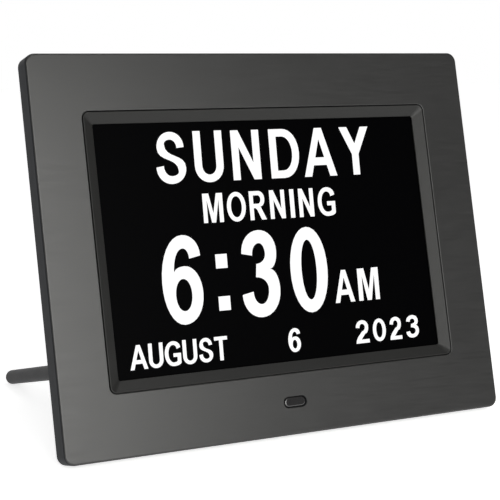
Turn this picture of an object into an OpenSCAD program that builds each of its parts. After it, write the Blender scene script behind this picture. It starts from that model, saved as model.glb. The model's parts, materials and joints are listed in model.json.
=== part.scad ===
// Day clock with a leaning front, a sunk screen and one screw-in stand rod.
// Sizes in millimetres. Every piece is drawn in the clock's upright pose:
// X to the right seen from the front, Y into the clock, Z up along the front face,
// with the origin at the middle of the front face's bottom edge.
// in_place() then leans the clock back until it rests on its rim and its rod.

/* [Front frame] */
// Flat border at each side of the slope round the screen
border_side = 22.4; // [20:0.1:30]
// Flat border above the slope
border_top = 24.6; // [22:0.1:30]
// Flat border below the slope
border_bottom = 26.6; // [25:0.1:32]
// Depth of the rim
frame_depth = 9.6; // [8.6:0.1:12]
// Corner radius of the clock seen from the front
frame_r = 4.2; // [3:0.1:8]
// Rounding of the front edge
edge_r = 0.9; // [0.4:0.1:1.6]
// Thickness of the front wall
face_t = 2.2; // [1.8:0.1:2.6]
// Thickness of the rim's side walls
rim_t = 2.5; // [1.6:0.1:3]

/* [Screen] */
// Width of the visible screen
screen_w = 156.4; // [148:0.1:180]
// Height of the visible screen
screen_h = 105; // [100:0.1:130]
// Corner radius of the visible screen
screen_r = 0.9; // [0.3:0.1:2]
// Width of the slope round the screen
ramp_w = 4.4; // [3:0.1:6]
// Depth of the slope round the screen
ramp_drop = 2.6; // [2:0.1:3.4]
// Outer corner radius of the slope
ramp_r = 2.4; // [2:0.1:5]
// Dark gap between the slope and the frame
bezel_gap = 0.35; // [0.2:0.05:0.6]
// Thickness of the bezel behind the slope
bezel_t = 0.6; // [0.4:0.1:1]
// Width of the bezel's glue edge behind the frame
bezel_lap = 3; // [2:0.1:3.6]

/* [Display] */
// Overlap of the display glass behind each side of the screen
glass_lap = 5.6; // [4:0.1:6]
// Thickness of the display glass
glass_t = 1.4; // [1:0.1:2]
// Thickness of the foam dust seal
gasket_t = 0.5; // [0.3:0.1:0.8]
// Thickness of the light guide
guide_t = 2; // [1.5:0.1:2.4]
// Sheet thickness of the display tray
tray_t = 0.6; // [0.4:0.1:0.8]
// Height of the strip of lamps under the light guide
lamp_h = 3; // [2:0.1:4]

/* [Remote control window] */
// Width of the pill-shaped window
window_w = 10.5; // [8:0.1:14]
// Height of the window
window_h = 4.2; // [3:0.1:5]
// Height of the window's middle above the bottom edge
window_mid = 13.8; // [13:0.1:14.5]
// Gap round the window
window_gap = 0.3; // [0.15:0.05:0.5]
// Width of the chamfer round the window's slot
window_bevel = 0.45; // [0.2:0.05:0.8]

/* [Rear cover] */
// Depth of the clock from its face to its back
body_depth = 25.4; // [24:0.1:32]
// Distance from the rim in to the back box
box_inset = 11; // [10:0.1:14]
// Corner radius of the back box
box_r = 8; // [6:0.1:12]
// Rounding of the back box's rear edge
box_edge_r = 2; // [1:0.1:2.4]
// Thickness of the back box's side walls
wall_t = 2.2; // [1.6:0.1:3]
// Thickness of the back wall
back_t = 2.4; // [2:0.1:3]
// Thickness of the rear cover's edge inside the rim
lip_t = 3; // [2.6:0.1:3.4]
// Gap between parts that fit into each other
fit_gap = 0.2; // [0.1:0.05:0.3]

/* [Stand rod] */
// Diameter of the rod
rod_d = 7; // [6:0.1:9]
// Length of rod that stands out of the back
rod_out = 131; // [110:1:170]
// Distance of the rod from the clock's left edge
rod_inset = 31; // [28:0.5:36]
// Height of the rod's root above the bottom edge
rod_height = 37.5; // [34:0.5:44]
// Diameter of the rod's threaded end
stud_d = 5; // [4:0.1:5.4]
// Length of the rod's threaded end
stud_len = 12; // [9:0.1:12.4]
// Depth of the seat round the rod in the back wall
rod_seat = 1.9; // [1:0.1:2]
// Outer diameter of the brass insert
insert_d = 8; // [7:0.1:9]
// Running clearance round the threaded end
thread_gap = 0.05; // [0.02:0.01:0.08]

/* [Buttons] */
// Diameter of a button
button_d = 8; // [7:0.1:9]
// Distance from one button to the next
button_pitch = 12; // [11.4:0.1:12.5]
// Height of a button above the back wall
button_rise = 1.2; // [0.6:0.1:2]
// How far a button goes in
button_travel = 0.5; // [0.3:0.05:0.8]
// Distance from the back box's side to the buttons
button_inset = 14; // [12.5:0.1:15]
// Gap between a button and its hole, all round
button_gap = 0.15; // [0.1:0.05:0.3]

/* [Wall hooks] */
// Distance between the two keyholes
hook_gap = 90; // [80:1:110]
// Diameter of a keyhole's entry
hook_d = 9; // [8:0.1:10]
// Width of a keyhole's slot
hook_slot = 4.5; // [4:0.1:5]
// Rise from a keyhole's entry to the end of its slot
hook_rise = 9; // [8:0.1:11]
// Distance from the clock's top edge down to the keyholes' entries
hook_drop = 33; // [31:0.5:36]
// Room for a screw head behind a keyhole
hook_room = 6; // [5.4:0.1:7]

/* [Speaker and vents] */
// Diameter of the speaker
speaker_d = 36; // [30:1:38]
// Depth of the speaker
speaker_depth = 10; // [9:0.1:10.5]
// Diameter of a hole in the grille
grille_hole_d = 2.2; // [1.6:0.1:2.6]
// Distance between grille holes
grille_pitch = 4.2; // [3.8:0.1:5]
// Width of a vent slot
vent_w = 2; // [1.4:0.1:2.6]
// Height of a vent slot
vent_h = 16; // [10:0.5:20]
// Number of vent slots
vent_count = 11; // [5:1:12]

/* [Power inlet] */
// Diameter of the socket for the plug
socket_d = 6; // [5.4:0.1:6.2]
// Depth of the socket
socket_depth = 10; // [8:0.1:11]
// Diameter of the contact pin in the socket
socket_pin_d = 2; // [1.6:0.1:2.5]

/* [Boards and screws] */
// Thickness of a circuit board
board_t = 1.6; // [1:0.1:1.6]
// Width of the main board
board_w = 88; // [80:1:92]
// Height of the main board
board_h = 80; // [74:1:86]
// Distance from the back wall to the main board
board_room = 10.9; // [10:0.1:11.2]
// Diameter of a case screw
case_screw_d = 3; // [2.6:0.1:3.4]
// Diameter of a small screw
small_screw_d = 2.4; // [2:0.1:2.6]

/* [Hidden] */
$fn = 64;
eps = 0.01;

// Order of the buttons from the top down
POWER = 0;
MENU = 1;
UP = 2;
DOWN = 3;
OK = 4;
BACK = 5;
button_count = 6;

// Depths of the layers behind the face, front to back
bezel_back = ramp_drop + bezel_t;
glass_front = bezel_back + gasket_t;
glass_back = glass_front + glass_t;
guide_back = glass_back + guide_t;
tray_back = guide_back + tray_t;
lip_front = frame_depth - lip_t;
wall_front = body_depth - back_t;

// The slope, its bezel and the frame's opening, each as [width, height]
screen_size = [screen_w, screen_h];
screen_mid = border_bottom + ramp_w + screen_h / 2;
frame_w = screen_w + 2 * (ramp_w + border_side);
frame_h = screen_h + 2 * ramp_w + border_bottom + border_top;
frame_size = [frame_w, frame_h];
ramp_size = grown(screen_size, ramp_w);
bezel_land = 0.3;
bezel_size = grown(ramp_size, bezel_land);
opening_size = grown(bezel_size, bezel_gap);
flange_size = grown(opening_size, bezel_lap);

// The display's layers
glass_size = grown(screen_size, glass_lap);
gasket_w = 4;
tray_gap = 0.4;
tray_size = grown(glass_size, tray_gap + tray_t);
tray_front = glass_front + 0.2;
lamp_count = 13;
lamp_gap = 0.5;
guide_size = [glass_size[0], glass_size[1] - lamp_h - lamp_gap];
guide_mid = screen_mid + (lamp_h + lamp_gap) / 2;

// The rear cover's edge and box
cover_size = grown(frame_size, -rim_t - fit_gap);
box_size = grown(frame_size, -box_inset);
room_size = grown(box_size, -wall_t);
case_mid = frame_h / 2;
box_right = box_size[0] / 2;
room_bottom = case_mid - room_size[1] / 2;

// Screws: a case screw has its head sunk in the cover's edge
case_head_d = case_screw_d * 1.8;
case_head_h = 1.6;
case_screw_len = 6;
small_head_d = small_screw_d * 1.8;
small_head_h = 1.4;
small_screw_len = 4.5;
thread_fit = 0.05;
case_boss_d = case_screw_d + 4;
case_boss_in = rim_t + case_boss_d / 2 + 0.9;
case_side = frame_w / 2 - case_boss_in;
case_spots = [
    for (x = [-case_side, case_side], z = [case_boss_in, case_mid, frame_h - case_boss_in]) [x, z]
];
post_d = small_screw_d + 3.6;

// Brackets that hold the display, above and below it
bracket_inset = 10;
bracket_x = tray_size[0] / 2 - bracket_inset;
bracket_off = max(tray_size[1], flange_size[1]) / 2 + post_d / 2 + 0.3;
bracket_spots = [for (x = [-bracket_x, bracket_x], s = [-1, 1]) [x, screen_mid + s * bracket_off]];
bracket_t = 1;
bracket_w = 10;

// Receiver for the remote control, behind its window
window_flange = 1.6;
window_back = face_t + 0.8;
receiver_size = [6, 7];
receiver_front = window_back + 0.1;
receiver_back = lip_front - 0.2;
ir_board_size = [18, 10];
ir_board_mid = room_bottom + fit_gap + ir_board_size[1] / 2;
ir_spots = [for (s = [-1, 1]) [s * (ir_board_size[0] / 2 - 2.4), ir_board_mid + 1.6]];

// Buttons, their board and its switches
button_x = box_right - button_inset;
button_flange = 1;
button_flange_d = button_d + 2;
key_reach = (button_count - 1) / 2 * button_pitch + (button_flange_d + post_d) / 2 + 0.5;
key_board_size = [15, 2 * (key_reach + post_d / 2 + 0.4)];
key_board_mid = case_mid + 2;
flange_front = wall_front - 0.05 - button_flange;
switch_size = [6, 6, 3];
switch_rise = 1;
plunger_d = 3.4;
plunger_depth = 2;
plunger_gap = 0.05;
plunger_back = flange_front - 0.25;
switch_back = plunger_back - switch_rise;
key_board_back = switch_back - switch_size[2];
key_spots = [for (s = [-1, 1]) [button_x, key_board_mid + s * key_reach]];

// Main board, held on posts from the back wall
board_back = wall_front - board_room;
board_front = board_back - board_t;
key_board_gap = 4.5;
board_right = button_x - key_board_size[0] / 2 - key_board_gap;
board_x = board_right - board_w / 2;
board_left = board_right - board_w;
board_lift = 4.8;
board_bottom = room_bottom + board_lift;
board_mid = board_bottom + board_h / 2;
board_edge = post_d / 2 + 1;
board_spots = [
    for (i = [-1, 1], k = [-1, 1])
        [board_x + i * (board_w / 2 - board_edge), board_mid + k * (board_h / 2 - board_edge)]
];

// Parts on the main board, each as [width, height, depth]; the cell holder sits low on the left,
// the chips above it and the power parts to its right
cell_d = 20;
cell_t = 3.2;
cell_lift = 1.2;
cell_fit = 0.2;
cell_rim_h = 1.4;
cell_frame = [cell_d + 5, cell_d + 3];
cell_x = board_left + 2 * board_edge + cell_frame[0] / 2 + 4;
cell_z = board_bottom + 2 * board_edge - 0.5 + cell_frame[1] / 2;
part_gap = 1.5;
memory_size = [9, 12, 1.1];
memory_x = cell_x - cell_frame[0] / 2 + memory_size[0] / 2;
memory_pitch = memory_size[1] + 4;
chips_z = cell_z + (cell_frame[1] + memory_pitch + memory_size[1]) / 2 + part_gap;
processor_size = [16, 16, 1.6];
processor_x = memory_x + (memory_size[0] + processor_size[0]) / 2 + 8;
crystal_size = [8, 3.5, 2];
crystal_z = chips_z - (processor_size[1] + crystal_size[1]) / 2 - part_gap;
crystal_x = processor_x + part_gap;
coil_size = [8, 8, 4];
coil_x = cell_x + (cell_frame[0] + coil_size[0]) / 2 + part_gap;
coil_rise = 10;
coil_z = board_bottom + coil_rise;
capacitor_d = 6.3;
capacitor_h = 7;
capacitor_pitch = capacitor_d + 1.7;
capacitor_x = coil_x + coil_size[0] / 2 + capacitor_d / 2 + 2.8;
capacitor_rise = 12;
capacitor_z = coil_z + capacitor_rise;

// Power inlet, soldered to the main board and level with the back
jack_body = socket_d + 4;
jack_x = board_right - board_edge - post_d / 2 - jack_body / 2 - 1;
jack_z = board_bottom + jack_body / 2 + 2;
jack_nose_d = socket_d + 1.8;
jack_back = body_depth - 0.4;

// Internal cables: the display's flex and the receiver's ribbon rise in front of the main board
flex_w = 30;
flex_x = board_x;
flex_drop = 2.2;
flex_t = 0.3;
cable_room = board_front - tray_back;
flex_depth = board_front - 0.3 * cable_room;
front_socket = board_front - 0.55 * cable_room;
flex_socket_rise = 22;
flex_socket_z = board_bottom + flex_socket_rise;
ir_board_t = 1.2;
ir_ribbon_w = 5;
ir_ribbon_x = 0;
ir_ribbon_rise = 7;
ir_socket_z = ir_board_mid + ir_board_size[1] / 2 + ir_ribbon_rise;
key_ribbon_w = 10;
key_ribbon_z = key_board_mid - key_reach + 2 * button_pitch;
key_ribbon_lift = 2;
key_ribbon_inset = 6;
ribbon_t = 0.3;

// Speaker on a ring and two posts from the back wall
speaker_room = 7;
speaker_x = board_left - speaker_room - speaker_d / 2;
speaker_z = case_mid + 5;
speaker_ring_h = 3;
speaker_flange_t = 2;
ear_reach = speaker_d / 2 + 3.6;
speaker_seat = wall_front - speaker_ring_h - gasket_t;
speaker_spots = [for (s = [-1, 1]) [speaker_x, speaker_z + s * ear_reach]];
speaker_mouth_d = speaker_d - 5;
speaker_ledge = 0.6;
tag_x = speaker_d / 2 - 4;
tag_z = -8;
tag_t = 1;
magnet_d = speaker_d * 0.55;
magnet_h = 4;
basket_depth = speaker_depth - magnet_h - 1;
coil_d = magnet_d * 0.6;
grille_reach = speaker_d / 2 - 3.6;

// Keyholes and vents
hook_z = frame_h - hook_drop;
hook_wall = 1.2;
vent_pitch = vent_w + 3;
vent_x = -8;
vent_rise = 26;
vent_z = room_bottom + vent_rise;

// Bare shallow panel on the back
panel_size = [60, 30];
panel_x = 12;
panel_z = case_mid - 4;
panel_depth = 0.4;

// Stand rod and its insert
rod_x = rod_inset - frame_w / 2;
rod_root = body_depth - rod_seat;
rod_tip = body_depth + rod_out - rod_d / 2;
insert_len = stud_len + 1;
insert_boss_d = insert_d + 5;

// How far the clock leans back when its rim and its rod both touch the table
rod_run = rod_tip - frame_depth;
lean = acos((rod_d / 2) / norm([rod_height, rod_run])) - atan2(rod_run, rod_height);
lift = frame_depth * sin(lean);
front_reach = edge_r * (cos(lean) + sin(lean) - 1);
back_reach = rod_tip * cos(lean) + rod_height * sin(lean) + rod_d / 2;

frame_grey = [0.25, 0.25, 0.26];
ramp_grey = [0.2, 0.2, 0.21];
cover_black = [0.07, 0.07, 0.075];
screen_black = [0.01, 0.01, 0.012];
steel = [0.62, 0.63, 0.65];
rod_steel = [0.3, 0.3, 0.31];
brass = [0.78, 0.6, 0.3];
board_green = [0.05, 0.3, 0.16];
chip_black = [0.1, 0.1, 0.1];
cream = [0.88, 0.86, 0.78];

// A [width, height] grown by the same margin on every side
function grown(size, margin) = [size[0] + 2 * margin, size[1] + 2 * margin];

// Height of a button above the bottom edge, counted from the top one
function button_z(index) = key_board_mid + ((button_count - 1) / 2 - index) * button_pitch;

// Leans the clock back and sets it down with its footprint centred on the origin
module in_place() {
    translate([0, -(front_reach + back_reach) / 2, lift]) rotate([-lean, 0, 0]) children();
}

// Extrudes a flat outline, drawn as seen from the front, from depth y0 to depth y1
module deep(y0, y1) {
    translate([0, y1, 0]) rotate([90, 0, 0]) linear_extrude(y1 - y0) children();
}

// Rectangle with round corners, centred
module outline(size, r) {
    square([size[0] - 2 * r, size[1]], center = true);
    square([size[0], size[1] - 2 * r], center = true);
    for (x = [-1, 1], y = [-1, 1])
        translate([x * (size[0] / 2 - r), y * (size[1] / 2 - r)]) circle(r);
}

// Plate with round corners from depth y0 to y1, its middle at height mid
module plate(size, r, y0, y1, mid) {
    translate([0, 0, mid]) deep(y0, y1) outline(size, r);
}

// Rectangular block centred on x and mid, from depth y0 to y1
module block(size, y0, y1, x, mid) {
    translate([x - size[0] / 2, y0, mid - size[1] / 2]) cube([size[0], y1 - y0, size[1]]);
}

// Round bar along the depth
module bar(d, y0, y1, x, z) {
    translate([x, y1, z]) rotate([90, 0, 0]) cylinder(d = d, h = y1 - y0);
}

// Quarter of a disc of radius e
module quarter(e) {
    intersection() {
        circle(e);
        square(e);
    }
}

// Layer e thick on the XY plane, whose upper edge is rounded by e all round
module round_layer(size, r, e) {
    linear_extrude(e) {
        square([size[0] - 2 * r, size[1] - 2 * e], center = true);
        square([size[0] - 2 * e, size[1] - 2 * r], center = true);
    }
    for (turn = [0, 1], side = [0, 1]) {
        long = size[1 - turn] - 2 * r;
        rotate([0, 0, 90 * turn + 180 * side])
            translate([size[turn] / 2 - e, long / 2, 0]) rotate([90, 0, 0]) linear_extrude(long) quarter(e);
    }
    for (x = [0, 1], y = [0, 1])
        mirror([x, 0, 0]) mirror([0, y, 0])
            translate([size[0] / 2 - r, size[1] / 2 - r, 0])
                rotate_extrude(angle = 90) {
                    square([r - e, e]);
                    translate([r - e, 0]) quarter(e);
                }
}

// Plate from depth y0 to y1 whose front edge is rounded by e
module soft_plate(size, r, y0, y1, mid, e) {
    plate(size, r, y0 + e, y1, mid);
    translate([0, y0 + e, mid]) rotate([90, 0, 0]) round_layer(size, r, e);
}

// Pill-shaped outline
module pill(size) {
    square([size[0] - size[1], size[1]], center = true);
    for (s = [-1, 1]) translate([s * (size[0] - size[1]) / 2, 0]) circle(d = size[1]);
}

// Pan-head screw at [x, z] whose head rests on depth y; it goes in towards dir (1 is to the back)
module screw(spot, y, dir, d, head_d, head_h, len) {
    slot = head_d * 0.6;
    translate([spot[0], y, spot[1]]) rotate([-90 * dir, 0, 0]) difference() {
        union() {
            cylinder(d = d, h = len);
            translate([0, 0, -head_h]) cylinder(d = head_d, h = head_h);
        }
        for (turn = [0, 90]) rotate([0, 0, turn])
            translate([-slot / 2, -0.3, -head_h - eps]) cube([slot, 0.6, 0.8 + eps]);
    }
}

// Small screw of the kind that holds every board and bracket
module small_screw(spot, y, dir) {
    screw(spot, y, dir, small_screw_d, small_head_d, small_head_h, small_screw_len);
}

// Post with a screw hole, from depth y0 to y1
module posts(spots, y0, y1) {
    for (p = spots) bar(post_d, y0, y1, p[0], p[1]);
}

// Holes for small screws, from depth y0 to y1
module screw_holes(spots, y0, y1) {
    for (p = spots) bar(small_screw_d + 2 * thread_fit, y0, y1, p[0], p[1]);
}

// Round wire or flat ribbon through points [depth, height], t thick and w wide, centred on x
module ribbon(points, t, w, x) {
    for (i = [0 : len(points) - 2]) {
        a = points[i];
        b = points[i + 1];
        run = b - a;
        translate([x - w / 2, a[0], a[1]]) rotate([atan2(run[1], run[0]), 0, 0])
            translate([0, 0, -t / 2]) cube([w, norm(run), t]);
    }
    for (i = [1 : len(points) - 2])
        translate([x - w / 2, points[i][0], points[i][1]]) rotate([0, 90, 0]) cylinder(d = t, h = w);
}

module front_frame() {
    boss_back = lip_front;
    ir_post_back = receiver_back;
    in_place() color(frame_grey) difference() {
        union() {
            difference() {
                soft_plate(frame_size, frame_r, 0, frame_depth, case_mid, edge_r);
                plate(grown(frame_size, -rim_t), max(frame_r - rim_t, 0.5),
                    face_t, frame_depth + 1, case_mid);
            }
            for (p = case_spots) bar(case_boss_d, face_t - eps, boss_back, p[0], p[1]);
            posts(bracket_spots, face_t - eps, tray_back);
            for (p = ir_spots) bar(post_d - 1.6, face_t - eps, ir_post_back, p[0], p[1]);
        }
        plate(opening_size, ramp_r + bezel_land + bezel_gap, -1, face_t + 1, screen_mid);
        translate([0, 0, window_mid]) deep(-1, face_t + 1) pill(grown([window_w, window_h], window_gap));
        hull() {
            translate([0, 0, window_mid]) deep(-eps, 0)
                pill(grown([window_w, window_h], window_gap + window_bevel), $fn = 32);
            translate([0, 0, window_mid]) deep(0, window_bevel)
                pill(grown([window_w, window_h], window_gap), $fn = 32);
        }
        for (p = case_spots)
            bar(case_screw_d + 2 * thread_fit, boss_back - 4, boss_back + 1, p[0], p[1]);
        screw_holes(bracket_spots, face_t + 1, tray_back + 1);
        screw_holes(ir_spots, face_t - 0.6, ir_post_back + 1);
    }
}

module screen_bezel() {
    in_place() color(ramp_grey) difference() {
        union() {
            plate(bezel_size, ramp_r + bezel_land, 0, face_t, screen_mid);
            plate(flange_size, ramp_r, face_t, bezel_back, screen_mid);
        }
        hull() {
            plate(ramp_size, ramp_r, -eps, 0, screen_mid, $fn = 32);
            plate(screen_size, screen_r, ramp_drop, bezel_back + eps, screen_mid, $fn = 32);
        }
        plate(screen_size, screen_r, ramp_drop, bezel_back + 1, screen_mid, $fn = 32);
    }
}

module ir_window() {
    in_place() color(screen_black) translate([0, 0, window_mid]) {
        deep(0.15, face_t) pill([window_w, window_h]);
        deep(face_t, window_back) pill(grown([window_w, window_h], window_flange));
    }
}

module screen_gasket() {
    in_place() color(chip_black) difference() {
        plate(glass_size, 1, bezel_back, glass_front, screen_mid);
        plate(grown(glass_size, -gasket_w), 1, bezel_back - 1, glass_front + 1, screen_mid);
    }
}

module lcd_glass() {
    in_place() color(screen_black) block(glass_size, glass_front, glass_back, 0, screen_mid);
}

module light_guide() {
    in_place() color([0.9, 0.93, 0.95]) block(guide_size, glass_back, guide_back, 0, guide_mid);
}

module backlight_bar() {
    lamp_mid = screen_mid - glass_size[1] / 2 + lamp_h / 2;
    lamp_pitch = glass_size[0] / lamp_count;
    in_place() color(cream) difference() {
        block([glass_size[0], lamp_h], glass_back, guide_back, 0, lamp_mid);
        for (i = [0 : lamp_count - 1])
            block([lamp_pitch * 0.4, lamp_h * 0.8], glass_back - 1, glass_back + guide_t / 2,
                (i - (lamp_count - 1) / 2) * lamp_pitch, lamp_mid + lamp_h / 2);
    }
}

module display_tray() {
    in_place() color(steel) difference() {
        block(tray_size, tray_front, tray_back, 0, screen_mid);
        block(grown(tray_size, -tray_t), tray_front - 1, guide_back, 0, screen_mid);
        block([flex_w + 4, tray_t + 2], tray_front - 1, tray_back - tray_t,
            flex_x, screen_mid - tray_size[1] / 2);
    }
}

module tray_brackets() {
    inner = tray_size[1] / 2 - 6;
    outer = bracket_off + post_d / 2;
    in_place() color(steel) difference() {
        for (x = [-bracket_x, bracket_x], s = [-1, 1])
            block([bracket_w, outer - inner], tray_back, tray_back + bracket_t,
                x, screen_mid + s * (outer + inner) / 2);
        screw_holes(bracket_spots, tray_back - 1, tray_back + 2);
    }
}

module display_flex() {
    edge = screen_mid - glass_size[1] / 2;
    turn = edge - tray_gap - tray_t - flex_drop;
    start = glass_front + glass_t / 2;
    in_place() color([0.75, 0.5, 0.2])
        ribbon([[start, edge - eps], [start, turn], [flex_depth, turn], [flex_depth, flex_socket_z]],
            flex_t, flex_w, flex_x);
}

module ir_board() {
    in_place() color(board_green) difference() {
        block(ir_board_size, receiver_back, receiver_back + ir_board_t, 0, ir_board_mid);
        screw_holes(ir_spots, receiver_back - 1, receiver_back + ir_board_t + 1);
    }
}

module ir_receiver() {
    in_place() color(chip_black) {
        block(receiver_size, receiver_front + 0.9, receiver_back, 0, window_mid + 0.3);
        intersection() {
            translate([0, receiver_front + 1.9, window_mid]) sphere(1.9);
            block([5, 5], receiver_front, receiver_front + 0.9, 0, window_mid);
        }
    }
}

module ir_ribbon() {
    start = receiver_back + ir_board_t + ribbon_t / 2;
    top = ir_board_mid + ir_board_size[1] / 2;
    bend = top + 0.7;
    in_place() color(cream)
        ribbon([[start, top - 2.6], [start, bend], [flex_depth, bend], [flex_depth, ir_socket_z]],
            ribbon_t, ir_ribbon_w, ir_ribbon_x);
}

module main_board() {
    in_place() color(board_green) difference() {
        block([board_w, board_h], board_front, board_back, board_x, board_mid);
        screw_holes(board_spots, board_front - 1, board_back + 1);
    }
}

// Flat part soldered to the back of the main board
module board_part(size, x, z) {
    block([size[0], size[1]], board_back, board_back + size[2], x, z);
}

module processor() {
    in_place() color(chip_black) board_part(processor_size, processor_x, chips_z);
}

module memory_chips() {
    in_place() color(chip_black) for (s = [-1, 1])
        board_part(memory_size, memory_x, chips_z + s * memory_pitch / 2);
}

// Capacitors, a coil and a timing crystal
module board_parts() {
    in_place() {
        color(steel) for (i = [0 : 2])
            bar(capacitor_d, board_back, board_back + capacitor_h, capacitor_x,
                capacitor_z + i * capacitor_pitch);
        color(chip_black) board_part(coil_size, coil_x, coil_z);
        color(steel) board_part(crystal_size, crystal_x, crystal_z);
    }
}

// Sockets for the four internal cables
module board_sockets() {
    in_place() color(cream) {
        block([flex_w + 3, 4], front_socket, board_front, flex_x, flex_socket_z + 2);
        block([ir_ribbon_w + 3, 3], front_socket, board_front, ir_ribbon_x, ir_socket_z + 1.5);
        block(
            [4, key_ribbon_w + 2], board_back, board_back + key_ribbon_lift,
            board_right - key_ribbon_inset + 1, key_ribbon_z
        );
        block([5, 6], board_back, board_back + 4, board_left + 3, speaker_z + tag_z);
    }
}

module cell_holder() {
    base = board_back + cell_lift;
    in_place() color(chip_black) difference() {
        block(cell_frame, board_back, base + cell_t + 0.2, cell_x, cell_z);
        bar(cell_d + 2 * cell_fit, base, base + cell_t + 1, cell_x, cell_z);
    }
}

module coin_cell() {
    base = board_back + cell_lift;
    step = base + cell_t - 0.5;
    in_place() color(steel) {
        bar(cell_d, base, step, cell_x, cell_z);
        bar(cell_d - 2 * cell_rim_h, step, base + cell_t, cell_x, cell_z);
    }
}

module dc_jack() {
    in_place() color(chip_black) difference() {
        union() {
            block([jack_body, jack_body], board_back, wall_front - 0.1, jack_x, jack_z);
            bar(jack_nose_d, wall_front - 0.1, jack_back, jack_x, jack_z);
        }
        bar(socket_d, jack_back - socket_depth, jack_back + 1, jack_x, jack_z);
    }
}

module jack_pin() {
    tip = jack_back - 0.8;
    in_place() color(steel) {
        bar(socket_pin_d, jack_back - socket_depth, tip - socket_pin_d / 2, jack_x, jack_z);
        translate([jack_x, tip - socket_pin_d / 2, jack_z]) sphere(d = socket_pin_d);
    }
}

module speaker_frame() {
    back = speaker_seat;
    front = back - speaker_flange_t;
    in_place() color(chip_black) difference() {
        union() {
            bar(speaker_d, front, back, speaker_x, speaker_z);
            block([post_d, 2 * ear_reach], front, back, speaker_x, speaker_z);
            posts(speaker_spots, front, back);
            block([3.4, 4], front - tag_t, front, speaker_x + tag_x, speaker_z + tag_z);
            translate([speaker_x, front, speaker_z]) rotate([90, 0, 0])
                cylinder(d1 = speaker_d - 3, d2 = magnet_d, h = speaker_depth - magnet_h - speaker_flange_t);
        }
        bar(speaker_mouth_d, back - speaker_ledge, back + 1, speaker_x, speaker_z);
        translate([speaker_x, back - speaker_ledge, speaker_z]) rotate([90, 0, 0])
            cylinder(d1 = speaker_mouth_d, d2 = coil_d, h = basket_depth - speaker_ledge);
        screw_holes(speaker_spots, front - 1, back + 1);
    }
}

module speaker_magnet() {
    face = speaker_seat - speaker_depth + magnet_h;
    in_place() color(steel) bar(magnet_d, face - magnet_h, face, speaker_x, speaker_z);
}

// Paper cone with a round dust cap, its rim glued into the mouth of the speaker's frame
module speaker_cone() {
    rim = speaker_mouth_d / 2;
    neck = coil_d / 2 - 1;
    bottom = basket_depth - 0.4;
    paper = 0.4;
    in_place() color(cover_black)
        translate([speaker_x, speaker_seat, speaker_z]) rotate([90, 0, 0]) rotate_extrude()
            polygon([[0, bottom - 2 * paper - 1], [neck, bottom - 2 * paper], [rim, 0], [rim, paper],
                [neck, bottom], [0, bottom]]);
}

module speaker_gasket() {
    in_place() color(chip_black) difference() {
        bar(speaker_d, speaker_seat, speaker_seat + gasket_t, speaker_x, speaker_z);
        bar(speaker_d - 4, speaker_seat - 1, speaker_seat + gasket_t + 1, speaker_x, speaker_z);
    }
}

// Two wires from the speaker's solder tags to the main board
module speaker_lead() {
    wire_d = 1.1;
    start = [speaker_x + tag_x, speaker_seat - speaker_flange_t - tag_t - wire_d / 2];
    goal = [board_left + 0.4, board_back + 2.6];
    run = goal - start;
    in_place() for (k = [0, 1]) color(k == 0 ? "firebrick" : "black")
        translate([start[0], start[1], speaker_z + tag_z + (k - 0.5) * 1.6])
            rotate([0, 0, atan2(run[1], run[0])]) rotate([0, 90, 0]) cylinder(d = wire_d, h = norm(run));
}

module key_board() {
    in_place() color(board_green) difference() {
        block(key_board_size, key_board_back - board_t, key_board_back, button_x, key_board_mid);
        screw_holes(key_spots, key_board_back - board_t - 1, key_board_back + 1);
    }
}

module key_switches() {
    in_place() color(steel) for (i = [0 : button_count - 1]) difference() {
        block([switch_size[0], switch_size[1]], key_board_back, switch_back, button_x, button_z(i));
        bar(plunger_d + 2 * plunger_gap, plunger_back - plunger_depth - button_travel - 0.2,
            switch_back + 1, button_x, button_z(i));
    }
}

module key_ribbon() {
    near = board_right - key_ribbon_inset;
    far = button_x - key_board_size[0] / 2 + 3;
    level = board_back + key_ribbon_lift;
    in_place() color(cream) {
        block([far + ribbon_t / 2 - near, key_ribbon_w], level, level + ribbon_t,
            (far + ribbon_t / 2 + near) / 2, key_ribbon_z);
        block([ribbon_t, key_ribbon_w], level, key_board_back - board_t, far, key_ribbon_z);
    }
}

// Entry hole and slot of a keyhole
module keyhole(x) {
    translate([x, hook_z]) {
        circle(d = hook_d);
        translate([-hook_slot / 2, 0]) square([hook_slot, hook_rise]);
        translate([0, hook_rise]) circle(d = hook_slot);
    }
}

// Shell behind a keyhole that keeps a screw head out of the clock
module hook_pocket(x, margin, y0, y1) {
    width = hook_d + 1.4;
    height = width + hook_rise;
    block(grown([width, height], margin), y0, y1, x, hook_z + hook_rise / 2);
}

module grille() {
    rings = ceil(grille_reach / grille_pitch);
    for (i = [-rings : rings], k = [-rings : rings]) {
        x = (i + k / 2) * grille_pitch;
        z = k * grille_pitch * sin(60);
        if (norm([x, z]) <= grille_reach)
            bar(grille_hole_d, wall_front - 1, body_depth + 1, speaker_x + x, speaker_z + z);
    }
}

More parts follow.
